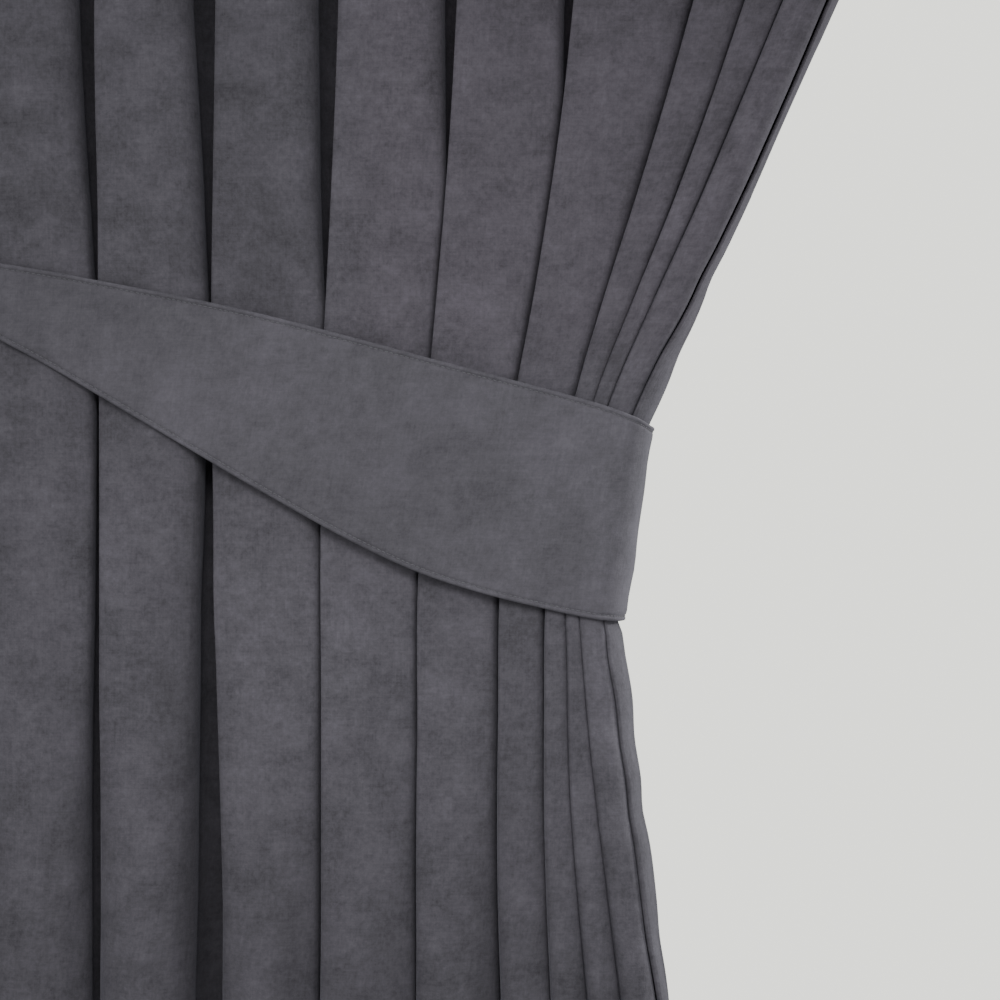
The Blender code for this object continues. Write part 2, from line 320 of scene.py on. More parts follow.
sample_depth = fold_depth(0.075, 0.010, 0.012, 0.013, 0.0, 0.150)
print("a wide fold is", round(1000 * sample_depth, 1), "mm deep")

# %% [markdown]
# ## The whole width of cloth at one level
#
# The folds are set side by side, and the two side edges flatten out, because a selvedge doesn't
# stand as deep as the folds. At the leading edge the cloth rounds the last fold and ends in its
# side hem. The outline is then rounded: each crisp edge keeps a small radius, about that of thick
# velvet folded once, and the other corners turn broadly. Below the band the crisp edges slowly open
# into round ones.

# %% Section of the drape
edge_round = 0.016
outer_edge_share = 0.55
leading_edge_share = 0.30
end_shares = (1.00, 0.45, 0.10)
end_front, end_slack = 0.22, 0.40
tail_bend, tail_lean, least_tail = 0.45, 0.75, 0.008
overhang_share, overhang_room, last_overhang_room = 0.18, 0.26, 0.10
crisp, round_edge = 0.16, 0.90
round_levels = [1.600, 1.660, 1.780]
round_shares = [0.0, 0.30, 1.0]


def edge_roundness(level):
    """How far the crisp edges have opened into round ones: 0 down to the band, 1 near the hem."""
    return float(np.interp(level, round_levels, round_shares))


def edge_squeeze(distance, least):
    """Share of the full depth that is left at a distance from a side edge."""
    if distance >= edge_round:
        return 1.0
    return max(least, (1 - (1 - max(distance, 0.0) / edge_round) ** 2) ** 0.5)


def leading_end(start, edge, half, cloth):
    """Last stretch of cloth in plan: round the leading edge, then back to its side hem."""
    width = edge - start
    points = []
    for share in end_shares:
        points.append((edge - share * width, -half * edge_squeeze(share * width, leading_edge_share)))
    used = outline_length(points)
    front = -end_front * half
    tail = max(least_tail, cloth - used - end_slack * half)
    hem_edge = edge - tail_lean * cloth_thickness
    return points + [(edge, front), (edge, front + tail_bend * tail), (hem_edge, front + tail)]


def section(level):
    """Corner points of the cloth in plan at one level, from the outer to the leading edge."""
    places = [edge_place(number, level) for number in range(len(fold_table))]
    pitches = np.diff(places)
    gaps = openings(level)
    soft_share = float(np.interp(level, soft_levels, soft_shares))
    roundness = edge_roundness(level)
    folds = len(pitches) - 1
    outlines, depths = [], []
    for number in range(folds):
        room = overhang_room if number < folds - 1 else last_overhang_room
        overhang = min(overhang_share * pitches[number], room * pitches[number + 1])
        gap = min(gaps[number], most_gap_share * pitches[number])
        soft = soft_share * softs[number]
        depth = fold_depth(pitches[number], gap, soft, overhang, roundness, cloths[number])
        outlines.append(fold_outline(pitches[number], gap, soft, depth, overhang, roundness))
        depths.append(depth)
    # The cloth hangs centred on one plane, so each edge stands out by half its folds' mean depth.
    around = [depths[0]] + depths + [depths[-1]]
    fronts = [-0.25 * (before + after) for before, after in zip(around[:-1], around[1:])]
    points = []
    for number, outline in enumerate(outlines):
        for step, (across, back) in enumerate(outline):
            share = step / len(outline)
            front = (1 - share) * fronts[number] + share * fronts[number + 1]
            x = places[number] + across
            squeeze = edge_squeeze(places[-1] - x, leading_edge_share)
            squeeze *= edge_squeeze(x - places[0], outer_edge_share)
            points.append((x, squeeze * (front + back)))
    points += leading_end(places[folds], places[-1], -fronts[folds], cloths[folds])
    return np.array(points)


fold_points = 9
after_edge = (0.0, 0.05, 0.13, 0.28, 0.60)
before_edge = (0.0, 0.45, 0.78, 0.93)
plain_steps = {1: 3, 2: 3, 3: 3, 4: 3, 5: 3, 6: 3, 7: 2}
end_corners, end_steps = 4, 3
columns_per_fold = len(after_edge) + sum(plain_steps.values()) + len(before_edge)


def segment_steps(index, last=None):
    """Where to place columns between a corner and the next, as shares."""
    step = index % fold_points
    if last is not None and index >= last - end_corners:
        return np.linspace(0, 1, end_steps + 1)[:-1]
    if step == 0:
        return np.array(after_edge)
    if step == fold_points - 1:
        return np.array(before_edge)
    return np.linspace(0, 1, plain_steps[step] + 1)[:-1]


def rounded(points, level):
    """Corner points joined by smooth arcs. The first corner of each fold is the crisp one."""
    edge_firmness = crisp + edge_roundness(level) * (round_edge - crisp)
    count = len(points)
    chords = np.diff(points, axis=0)
    lengths = np.maximum(np.hypot(*chords.T), 1e-6)
    ahead = chords / lengths[:, None]
    between = ahead[:-1] * lengths[1:, None] + ahead[1:] * lengths[:-1, None]
    headings = np.vstack([ahead[:1], between, ahead[-1:]])
    headings /= np.maximum(np.hypot(*headings.T), 1e-9)[:, None]
    folds_end = fold_points * (len(fold_table) - 2)
    pieces = []
    for index in range(count - 1):
        t = segment_steps(index, count - 1)[:, None]
        firm = [1.0, 1.0]
        for side in (0, 1):
            corner = index + side
            if corner % fold_points == 0 and 0 < corner <= folds_end:
                firm[side] = edge_firmness
        leave = lengths[index] * firm[0] * headings[index]
        arrive = lengths[index] * firm[1] * headings[index + 1]
        pieces.append(
            (1 + 2 * t) * (1 - t) ** 2 * points[index] + t * (1 - t) ** 2 * leave
            + t * t * (3 - 2 * t) * points[index + 1] + t * t * (t - 1) * arrive
        )
    pieces.append(points[-1:])
    return np.vstack(pieces)


columns_across = len(rounded(section(1.3), 1.3))
print(columns_across, "columns of cloth across the drape")

# %% [markdown]
# ## Soft creases on the faces
#
# Cloth that is drawn aside never hangs dead flat. Each face has a few long shallow hollows and
# swells, listed one by one where the light shows them, and a slow wave that differs from face to face.
# They fade out at the crisp edges, so the edge lines keep their places.

# %% Creases
crease_columns = ("x", "level", "lean", "half_length", "half_width", "lift")
crease_table = [
    (-290, 1.235, 0.00, 70, 9, -1.2),
    (-262, 1.300, -0.05, 85, 8, 1.1),
    (-206, 1.255, 0.02, 60, 10, -1.4),
    (-186, 1.330, 0.03, 50, 8, 1.0),
    (-142, 1.240, 0.05, 55, 9, -1.1),
    (-128, 1.345, 0.10, 45, 8, 1.2),
    (-72, 1.270, 0.12, 60, 9, -1.1),
    (-60, 1.360, 0.16, 40, 7, 1.0),
    (0, 1.250, 0.22, 55, 9, -1.0),
    (-22, 1.350, 0.26, 40, 7, 0.9),
    (66, 1.235, 0.28, 40, 6, 0.8),
    (-284, 1.620, 0.00, 60, 9, -1.2),
    (-262, 1.720, 0.02, 80, 8, 1.1),
    (-212, 1.600, 0.00, 45, 10, -1.3),
    (-196, 1.700, -0.02, 80, 9, 1.2),
    (-150, 1.640, 0.00, 60, 8, -1.0),
    (-138, 1.740, 0.02, 70, 7, 1.0),
    (-96, 1.610, 0.00, 45, 8, -1.0),
    (-84, 1.730, 0.00, 80, 8, 1.0),
    (0, 1.640, -0.10, 40, 5, 0.7),
    (-330, 1.150, 0.00, 120, 9, 1.4),
    (-210, 0.900, 0.00, 160, 11, 1.6),
    (-118, 0.700, 0.00, 200, 12, -1.8),
    (60, 0.800, 0.10, 170, 12, 1.7),
    (190, 0.600, 0.10, 180, 12, -1.6),
    (270, 0.400, 0.05, 160, 10, 1.6),
    (-340, 2.050, 0.00, 140, 10, 1.4),
    (-262, 2.200, 0.00, 160, 10, -1.5),
    (-190, 2.080, 0.00, 170, 11, 1.6),
    (-84, 2.150, 0.00, 170, 9, -1.3),
]
crease_reach = 3
wave_height = 0.0007
wave_lengths = (0.21, 0.137)
fold_phase, wave_phase = 2.4, 1.7
face_corners = 4.0


def face_share():
    """How far each column is from the crisp edges of its face, from 0 to 1."""
    shares = []
    for index in range(fold_points * (len(fold_table) - 2)):
        step = index % fold_points
        for t in segment_steps(index):
            along = (step + t) / face_corners
            shares.append(sin(pi * along) ** 2 if along < 1 else 0.0)
    shares += [0.0] * (columns_across - len(shares))
    return np.array(shares)


face_weight = face_share()


def crease_lift(plan, level):
    """How far each column moves towards the viewer at one level."""
    lift = np.zeros(len(plan))
    for x, middle, lean, half_length, half_width, height in crease_table:
        down = (level - middle) / (MM * half_length)
        if abs(down) > crease_reach:
            continue
        centre = MM * x - lean * (level - middle)
        across = (plan[:, 0] - centre) / (MM * half_width)
        lift += MM * height * np.exp(-0.5 * across ** 2 - 0.5 * down ** 2)
    folds = np.floor(np.arange(len(plan)) / columns_per_fold)
    for order, wave in enumerate(wave_lengths):
        phase = fold_phase * folds * (order + 1) + wave_phase * order
        lift += wave_height / (order + 1) * np.sin(2 * pi * level / wave + phase)
    return lift * face_weight


print(len(crease_table), "creases placed by hand, each with", crease_columns)

# %% [markdown]
# ## Nap tone and painted light
#
# Velvet looks lighter where its pile leans towards the light, and darker where it leans away. Hands
# and the band have brushed it one way in some places and the other way in others. The same table
# also holds painted shade beside the channels and painted highlights on swells and on the ridges
# near the leading edge and on the band, where the side light falls. Each place is a row in a table,
# with a soft edge, and its tone is kept on the points of the cloth. Above the band a warmer tint
# towards the leading edge is painted in for warm light, which is a second value there.

# %% Brushed pile, painted shade and painted highlights
nap_and_light_columns = ("x", "level", "lean", "half_length", "half_width", "tone")
# Some rows are brushed pile; others are painted shade beside the channels and painted highlights on swells
# and on the ridges by the leading edge.
drape_nap_and_painted_light = [
    (-122, 1.210, 0.00, 45, 14, 0.20),
    (0, 1.198, 0.10, 24, 20, 0.05),
    (-212, 1.345, 0.00, 40, 26, -0.17),
    (-254, 1.247, 0.00, 26, 10, 0.05),
    (-217, 1.220, 0.00, 50, 14, -0.06),
    (-98, 1.375, 0.00, 30, 12, 0.04),
    (-84, 1.335, 0.00, 26, 14, -0.07),
    (-42, 1.390, 0.00, 30, 12, -0.06),
    (-30, 1.298, 0.00, 26, 10, 0.05),
    (30, 1.240, 0.32, 60, 8, -0.06),
    (78, 1.200, 0.30, 70, 7, 0.08),
    (117, 1.200, 0.45, 80, 7, 0.22),
    (-200, 1.585, 0.00, 55, 22, 0.10),
    (-158, 1.580, 0.00, 34, 14, 0.07),
    (-255, 1.605, 0.00, 80, 11, -0.13),
    (-248, 1.755, 0.00, 80, 10, -0.22),
    (-233, 1.740, 0.00, 90, 5, -0.12),
    (-190, 1.768, 0.00, 34, 20, -0.14),
    (-134, 1.770, 0.00, 40, 20, -0.10),
    (-78, 1.730, 0.00, 60, 9, -0.10),
    (-56, 1.715, 0.00, 100, 13, -0.12),
    (-2, 1.600, -0.14, 36, 3.5, 0.26),
    (9, 1.690, -0.17, 50, 4.5, 0.14),
    (26, 1.715, -0.17, 70, 4, -0.14),
    (-320, 1.900, 0.00, 160, 30, 0.08),
    (-140, 2.150, 0.00, 200, 40, -0.08),
    (40, 2.100, -0.10, 200, 20, 0.08),
    (-200, 0.700, 0.00, 220, 40, 0.08),
    (120, 0.650, 0.05, 200, 40, -0.08),
]


def nap_and_painted_light_tone(places, nap_and_light_places):
    """Tone at points in space, near 1, lighter or darker by the listed places: brushed pile, painted shade
    and painted highlights.
    """
    x = places[:, :, 0]
    level = -places[:, :, 2]
    tone = np.ones(x.shape)
    for middle, height, lean, half_length, half_width, strength in nap_and_light_places:
        down = (level - height) / (MM * half_length)
        across = (x - MM * middle + lean * (level - height)) / (MM * half_width)
        tone += strength * np.exp(-0.5 * down ** 2 - 0.5 * across ** 2)
    return tone


# A warmer tint is painted above the band towards the leading edge, for warm light that falls there.
warm_light_sides = (-0.175, -0.135)
warm_light_levels = (1.380, 1.430)


def painted_warm_light(places):
    """How much painted warm light each point has: 1 above the band, beyond the outer folds."""
    across = np.interp(places[:, :, 0], warm_light_sides, (0.0, 1.0))
    return across * np.interp(-places[:, :, 2], warm_light_levels, (1.0, 0.0))


print(len(drape_nap_and_painted_light), "brushed places on the drape, each with", nap_and_light_columns)

# %% [markdown]
# ## The drape as one sheet
#
# Rows of points are laid from the top edge to the hem, closer together where the view falls. A
# column that is swept aside travels further, so its hem ends a little higher. The sheet gets its
# thickness from a Solidify modifier, which reads a weight at each point: hems are turned twice, so
# they are thicker, and the crisp edges and the side hems under the band are pressed, so they are
# thinner. The sheet also gets a map of the flat cloth in metres, so that nap and weave
# follow the cloth round every fold. A cloth simulation could find such folds too, but it wouldn't
# put them where the real ones are.

# %% Rows of the drape
hem_height = 0.075
heading_height = 0.060
side_hem = 0.020
hem_thickness = 0.0027
pressed_share = 0.55
outer_press = (1.350, 0.034)
leading_press = (1.500, 0.075)
outer_columns, leading_columns = 1, 12
row_levels = np.concatenate([
    [0.0, 0.004, 0.030],
    np.arange(heading_height, 1.15, 0.045),
    np.arange(1.160, 1.830, 0.0068),
    np.arange(1.850, drop - hem_height - 0.01, 0.032),
    [drop - hem_height - 0.003, drop - hem_height + 0.001, 2.450, 2.475, 2.496, drop],
])


def distances_along(points):
    """Distance of each point in a plane from the first, along their run."""
    return np.concatenate([[0.0], np.cumsum(np.hypot(*np.diff(points, axis=0).T))])


def hem_levels():
    """Level of the hem at each column of cloth."""
    fine = np.linspace(0.0, drop, 120)
    ends = []
    for number in range(len(fold_table)):
        places = [edge_place(number, level) for level in fine]
        ends.append(np.interp(drop, distances_along(np.column_stack([places, fine])), fine))
    return np.interp(np.linspace(0, len(ends) - 1, columns_across), np.arange(len(ends)), ends)


def drape_grid():
    """Middle points of the cloth, rows from the top edge to the hem, and their flat places."""
    ends = hem_levels()
    rows, flats = [], []
    for level in row_levels:
        plan = rounded(section(level), level)
        across = distances_along(plan)
        plan[:, 1] -= crease_lift(plan, level)
        below = max(0.0, (level - free_start) / (drop - free_start))
        levels = level + below * (ends - drop)
        rows.append(np.column_stack([plan, -levels]))
        flats.append(np.column_stack([across, np.full(len(plan), drop - level)]))
    return np.array(rows), np.array(flats)


drape_points, drape_flat = drape_grid()
print("grid of", drape_points.shape[0], "by", drape_points.shape[1], "points")
print("cloth across:", drape_flat[:, -1, 0].min().round(3), "to", drape_flat[:, -1, 0].max().round(3))

# %% Sheet from a grid
def sheet_from_grid(name, grid, flat, thickness, weights, marks):
    """One sheet of cloth, thickened to both sides of a grid of middle points."""
    rows, places, _ = grid.shape
    corners = np.arange(rows * places).reshape(rows, places)
    ring = [corners[:-1, :-1], corners[1:, :-1], corners[1:, 1:], corners[:-1, 1:]]
    faces = np.stack(ring, axis=-1)
    mesh = bpy.data.meshes.new(name)
    mesh.from_pydata(grid.reshape(-1, 3).tolist(), [], faces.reshape(-1, 4).tolist())
    mesh.shade_smooth()
    layer = mesh.uv_layers.new(name="cloth")
    loop_vertices = np.empty(len(mesh.loops), int)
    mesh.loops.foreach_get("vertex_index", loop_vertices)
    layer.data.foreach_set("uv", flat.reshape(-1, 2)[loop_vertices].ravel())
    for label, values in marks.items():
        mesh.attributes.new(label, "FLOAT", "POINT").data.foreach_set("value", values.ravel())
    piece = add_object(name, mesh)
    group = piece.vertex_groups.new(name="thickness")
    levels = np.round(weights.ravel(), 3)
    for value in np.unique(levels):
        group.add(np.flatnonzero(levels == value).tolist(), float(value), "REPLACE")
    thicken = piece.modifiers.new("thickness", "SOLIDIFY")
    thicken.thickness = thickness
    thicken.offset = 0.0
    thicken.vertex_group = group.name
    thicken.thickness_vertex_group = 0.0
    return piece


def hem_left(levels, middle, half_length):
    """Share of a side hem's extra thickness that the band doesn't press out."""
    return 1 - np.exp(-((levels - middle) / half_length) ** 6)


def drape_weights():
    """Share of the hem's thickness at each point of the drape."""
    plain = cloth_thickness / hem_thickness
    levels = row_levels[:, None]
    across = drape_flat[:, :, 0]
    width = across[:, -1:]
    hems = 1.0 * ((levels > drop - hem_height) | (levels < heading_height + 0.001))
    hems = np.maximum(hems, (across < side_hem) * hem_left(levels, *outer_press))
    hems = np.maximum(hems, (across > width - side_hem) * hem_left(levels, *leading_press))
    weights = plain + (1 - plain) * hems
    smooth = weights.copy()
    smooth[:, 1:-1] = (weights[:, :-2] + 2 * weights[:, 1:-1] + weights[:, 2:]) / 4
    number = np.arange(columns_across)
    beside = number % columns_per_fold
    pressed = (beside <= 1) | (beside == columns_per_fold - 1)
    pressed &= (number > outer_columns) & (number < columns_across - leading_columns)
    smooth[:, pressed] *= pressed_share
    return smooth


# The marks carry brushed pile with painted shade and painted highlights, and the painted warm light.
drape_marks = {
    "nap_and_painted_light": nap_and_painted_light_tone(drape_points, drape_nap_and_painted_light),
    "painted_warm_light": painted_warm_light(drape_points),
}
drape = sheet_from_grid(
    "velvet_drape", drape_points, drape_flat, hem_thickness, drape_weights(), drape_marks,
)
print(len(drape.data.polygons), "faces in the drape's middle sheet")

# %% [markdown]
# ## The tieback
#
# The tieback is cut as a crescent: narrow at its ends and broad where it crosses the front. It is
# two layers of velvet over a stiffener, turned in at the edges and stitched 3 mm inside them, which
# leaves a rounded ridge along each edge and a groove beside it. It is pulled taut, so at each level
# its path is that of a string drawn round the folds. Its path is worked out here from the drape's
# own folds, so the two always touch and never cross.

# %% Table of the band
band_thickness = 0.0032
band_clearance = 0.0012
band_columns = ("along", "upper", "lower")
band_table = [
    (0.00, 1334.0, 1358.0),
    (0.10, 1339.5, 1374.0),
    (0.20, 1347.5, 1398.5),
    (0.30, 1357.5, 1426.5),
    (0.40, 1368.0, 1454.0),
    (0.50, 1380.0, 1482.0),
    (0.60, 1393.0, 1508.4),
    (0.70, 1406.2, 1530.1),
    (0.80, 1418.9, 1545.1),
    (0.85, 1425.3, 1550.9),
    (0.90, 1432.2, 1556.3),
    (0.93, 1437.2, 1558.8),
    (0.96, 1441.1, 1559.9),
    (1.00, 1442.6, 1560.2),
]
wall_end = (-0.446, 0.010)
corner_step = 0.07
path_shares = np.linspace(0.0, 2.0, 901)
path_levels = np.arange(1.330, 1.5661, 0.003)
path_softness = 2.5
outmost_reach = 0.25 * MM


def half_hull(points):
    """Lower half of the convex outline of points that are sorted by X."""
    kept = []
    for point in points:
        while len(kept) > 1:
            (ax, ay), (bx, by) = kept[-2], kept[-1]
            if (bx - ax) * (point[1] - ay) > (by - ay) * (point[0] - ax):
                break
            kept.pop()
        kept.append(point)
    return kept[:-1]


def softened(values):
    """Values along a path, evened out over a few neighbours. Both ends stay."""
    reach = int(3 * path_softness)
    kernel = np.exp(-0.5 * (np.arange(-reach, reach + 1) / path_softness) ** 2)
    padded = np.concatenate([
        2 * values[0] - values[reach:0:-1],
        values,
        2 * values[-1] - values[-2:-reach - 2:-1],
    ])
    return np.convolve(padded, kernel / kernel.sum(), "valid")


def taut_path(level):
    """Places of the band in plan at one level, by share: 1 is the turn round the leading edge."""
    reach = 0.5 * cloth_thickness + band_clearance + 0.5 * band_thickness
    plan = rounded(section(level), level)
    points = sorted([tuple(point) for point in plan.tolist()] + [wall_end])
    hull = half_hull(points) + half_hull(points[::-1])
    start = hull.index(wall_end)
    hull = hull[start:] + hull[:start]
    path = []
    for index, (x, y) in enumerate(hull):
        before = hull[index - 1]
        after = hull[(index + 1) % len(hull)]
        angle_in = atan2(y - before[1], x - before[0]) - pi / 2
        angle_out = atan2(after[1] - y, after[0] - x) - pi / 2
        turn = (angle_out - angle_in) % (2 * pi)
        angles = np.linspace(angle_in, angle_in + turn, max(2, int(turn / corner_step) + 1))
        if index == 0:
            path_end = (x + reach * cos(angle_in), y + reach * sin(angle_in))
            angles = [angle_out]
        path += [(x + reach * cos(angle), y + reach * sin(angle)) for angle in angles]
    path = np.array(path + [path_end])
    lengths = distances_along(path)
    outmost = lengths[path[:, 0] > path[:, 0].max() - outmost_reach]
    turn = 0.5 * (outmost.min() + outmost.max())
    front = path_shares * turn
    back = lengths[-1] - (2 - path_shares) * (lengths[-1] - turn)
    distances = np.where(path_shares <= 1, front, back)
    return np.column_stack([softened(np.interp(distances, lengths, path[:, axis])) for axis in (0, 1)])


band_paths = np.array([taut_path(level) for level in path_levels])
front_run = np.hypot(*np.diff(band_paths[:, path_shares <= 1], axis=1).transpose(2, 0, 1)).sum(axis=1)
print("front half of the band:", front_run.min().round(3), "to", front_run.max().round(3), "m")

# %% [markdown]
# The rows of the band are set by their distance from the nearer edge, not by equal shares, because
# the ridge and the groove keep their size while the band widens.

# %% Band surface
edge_rows = [0.0, 0.25, 0.7, 1.3, 1.9, 2.4, 2.8, 3.2, 3.6, 4.1, 5.0, 6.5]
half_rises = [0.45, 1.00, 1.45, 1.60, 1.52, 1.18, 0.80, 0.74, 0.92, 1.18, 1.35, 1.40]
inner_rows = 12
share_runs = ((0.0, 0.20, 34), (0.212, 0.80, 50), (0.806, 0.996, 46))
share_step = 0.006
band_swells = [
    (1.00, 0.035, 1462, 9, -0.9),
    (1.00, 0.030, 1528, 10, 1.3),
    (1.00, 0.030, 1553, 5, 0.8),
    (0.72, 0.060, 1440, 18, 0.5),
    (0.45, 0.070, 1415, 14, -0.4),
]


def band_shares():
    """Places along the band, closer together where it turns."""
    front = [share for run in share_runs for share in np.linspace(*run)]
    return np.array(front + [1.0] + [2 - share for share in reversed(front)])


def band_edges(share):
    """Levels of the band's upper and lower edge at a share of the way along."""
    along = column(band_table, band_columns, "along")
    near = min(share, 2 - share)
    edges = []
    for name in ("upper", "lower"):
        edges.append(MM * read_curve(smooth_curve(along, column(band_table, band_columns, name)), near))
    return edges


def taut_place(share, level):
    """Place in plan of a string drawn round the folds, at a share along and a level."""
    level_step = path_levels[1] - path_levels[0]
    row = np.clip((level - path_levels[0]) / level_step, 0, len(path_levels) - 1.001)
    spot = np.clip(share / (path_shares[1] - path_shares[0]), 0, len(path_shares) - 1.001)
    low, left = int(row), int(spot)
    down, on = row - low, spot - left
    upper = (1 - on) * band_paths[low, left] + on * band_paths[low, left + 1]
    lower = (1 - on) * band_paths[low + 1, left] + on * band_paths[low + 1, left + 1]
    return (1 - down) * upper + down * lower


def band_place(share, level, upper, lower):
    """Middle of the band in space: straight from edge to edge, or on the folds if they stand out."""
    down = (level - upper) / (lower - upper)
    straight = (1 - down) * taut_place(share, upper) + down * taut_place(share, lower)
    ahead = taut_place(min(share + share_step, 2.0), level)
    ahead -= taut_place(max(share - share_step, 0.0), level)
    outward = np.array([ahead[1], -ahead[0]]) / max(float(np.hypot(*ahead)), 1e-9)
    proud = max(0.0, float(np.dot(taut_place(share, level) - straight, outward)))
    for centre, half_share, middle, half_length, lift in band_swells:
        swell = ((share - centre) / half_share) ** 2
        swell += ((level - MM * middle) / (MM * half_length)) ** 2
        proud += MM * lift * float(np.exp(-0.5 * swell))
    return [*(straight + proud * outward), -level]


def band_grid():
    """Middle points of the band, their flat places, and the distance from the nearer edge."""
    shares = band_shares()
    grid, insets = [], []
    for share in shares:
        upper, lower = band_edges(share)
        width = lower - upper
        most = 0.5 * width - 0.001
        steps = [min(MM * inset, most * inset / (edge_rows[-1] + 1)) for inset in edge_rows]
        middle = np.linspace(steps[-1], width - steps[-1], inner_rows + 2)[1:-1]
        levels = [*steps, *middle, *[width - step for step in reversed(steps)]]
        grid.append([band_place(share, upper + level, upper, lower) for level in levels])
        insets.append([min(level, width - level) for level in levels])
    grid = np.array(grid).transpose(1, 0, 2)
    insets = np.array(insets).T
    middle_row = grid[len(grid) // 2]
    along = np.concatenate([[0.0], np.cumsum(np.linalg.norm(np.diff(middle_row, axis=0), axis=1))])
    flat = np.stack([np.broadcast_to(along, insets.shape), 3.0 + grid[:, :, 2]], axis=-1)
    return grid, flat, insets


band_points, band_flat, band_insets = band_grid()
thickest = MM * max(half_rises)
band_weights = MM * np.interp(band_insets / MM, edge_rows, half_rises) / thickest
# Painted light on the band: painted highlights towards its right end, where the side light falls, and
# painted shade further left.
band_nap_and_painted_light = [
    (8, 1.470, 0.00, 44, 20, 0.19),
    (12, 1.530, 0.00, 30, 10, 0.09),
    (-30, 1.500, 0.00, 26, 22, 0.07),
    (-125, 1.462, 0.00, 34, 34, -0.09),
    (-232, 1.405, 0.00, 20, 26, -0.03),
]
band_marks = {
    "nap_and_painted_light": nap_and_painted_light_tone(band_points, band_nap_and_painted_light),
    "painted_warm_light": np.zeros(band_insets.shape),
}
band = sheet_from_grid(
    "velvet_tieback", band_points, band_flat, 2 * thickest, band_weights, band_marks,
)
print("grid of", band_points.shape[0], "by", band_points.shape[1], "points on the band")

# %% [markdown]
# ## Topstitching
#
# The band's edge is held by one row of small stitches on each side. There are hundreds of them, all
# alike, so they are a case for Geometry Nodes: the tree follows the stitching line, sets a thread
# at each pitch and turns it along the line. The tree ends in real geometry with its material, so
# the stitches become a plain mesh.

# %% Stitching lines
stitch_inset = 3.0
most_inset_share = 0.9
thread_lift = 0.00014


def outward_normals(grid):
    """Directions that point away from the drape at each point of the band."""
    along = np.gradient(grid, axis=1)
    down = np.gradient(grid, axis=0)
    normals = np.cross(along, down)
    normals /= np.linalg.norm(normals, axis=2, keepdims=True)
    front_middle = normals[normals.shape[0] // 2, normals.shape[1] // 4]
    return normals if front_middle[1] < 0 else -normals


def stitch_line(upper):
    """Points of one stitching line on the band's outer face."""
    normals = outward_normals(band_points)
    places = []
    half = len(band_points) // 2
    rows = list(range(half) if upper else range(len(band_points) - 1, half, -1))
    for spot in range(band_points.shape[1]):
        insets = band_insets[rows, spot]
        inset = min(MM * stitch_inset, most_inset_share * insets.max())
        point = [np.interp(inset, insets, band_points[rows, spot, axis]) for axis in range(3)]
        normal = np.array([np.interp(inset, insets, normals[rows, spot, axis]) for axis in range(3)])
        rise = MM * np.interp(inset / MM, edge_rows, half_rises) + thread_lift
        places.append(np.array(point) + rise * normal / np.linalg.norm(normal))
    return np.array(places)


stitch_lines = [stitch_line(True), stitch_line(False)]
stitch_runs = [float(np.linalg.norm(np.diff(line, axis=0), axis=1).sum()) for line in stitch_lines]
print("stitching lines:", [round(run, 3) for run in stitch_runs], "m")

# %% [markdown]
# ## Velvet
#
# Velvet is a short dense pile. It has no gloss, but it scatters light at grazing angles, which is
# what sheen does. Where the pile has been brushed or pressed it lies another way, so the cloth shows
# wide clouds, soft patches and small flecks, a little lighter and darker. Under the pile, the ground
# weave shows as faint threads along and across the cloth. All of these are in one node group, because
# the drape, the band and the thread use them, each with its own amounts. The velvets read the flat
# map of the cloth in metres, so the group does too.

# %% Node helpers
def socket(group, name, kind, into=True, value=None):
    """One named input or output of a node group."""
    made = group.interface.new_socket(name=name, in_out="INPUT" if into else "OUTPUT", socket_type=kind)
    if value is not None:
        made.default_value = value


def feed(tree, node, inputs):
    """Fills inputs of a node. Each is a value, or the socket that it is linked from."""
    for name, value in inputs.items():
        if isinstance(value, bpy.types.NodeSocket):
            tree.links.new(value, node.inputs[name])
        else:
            node.inputs[name].default_value = value


def add_node(tree, kind, inputs=None, **settings):
    """New node of a tree, with its settings and then its inputs."""
    node = tree.nodes.new(kind)
    for name, value in settings.items():
        setattr(node, name, value)
    feed(tree, node, inputs or {})
    return node


def noise(tree, vector, scale, detail, roughness=0.5):
    """Noise value that reads a vector."""
    inputs = {"Vector": vector, "Scale": scale, "Detail": detail, "Roughness": roughness}
    return add_node(tree, "ShaderNodeTexNoise", inputs).outputs["Fac"]


def stretched(tree, vector, scale):
    """Vector stretched along one way of the cloth."""
    return add_node(tree, "ShaderNodeMapping", {"Vector": vector, "Scale": scale}).outputs["Vector"]


def sum_of(tree, start, parts):
    """Start plus each centred value times its amount."""
    total = start
    for value, amount in parts:
        centred = add_node(tree, "ShaderNodeMath", {0: value, 1: 0.5}, operation="SUBTRACT")
        inputs = {0: centred.outputs[0], 1: amount, 2: total}
        total = add_node(tree, "ShaderNodeMath", inputs, operation="MULTIPLY_ADD").outputs[0]
    return total


# %% Nap and weave group
nap_inputs = {
    "Patch Scale": 34.0, "Patch Amount": 0.5, "Cloud Amount": 0.5,
    "Fleck Amount": 0.4, "Thread Amount": 0.3, "Pile Amount": 0.2,
}
cloud_scale, pile_scale = 13.0, 1700.0
fleck_stretch = (330.0, 250.0, 1.0)
weft_stretch, warp_stretch = (55.0, 900.0, 1.0), (900.0, 55.0, 1.0)


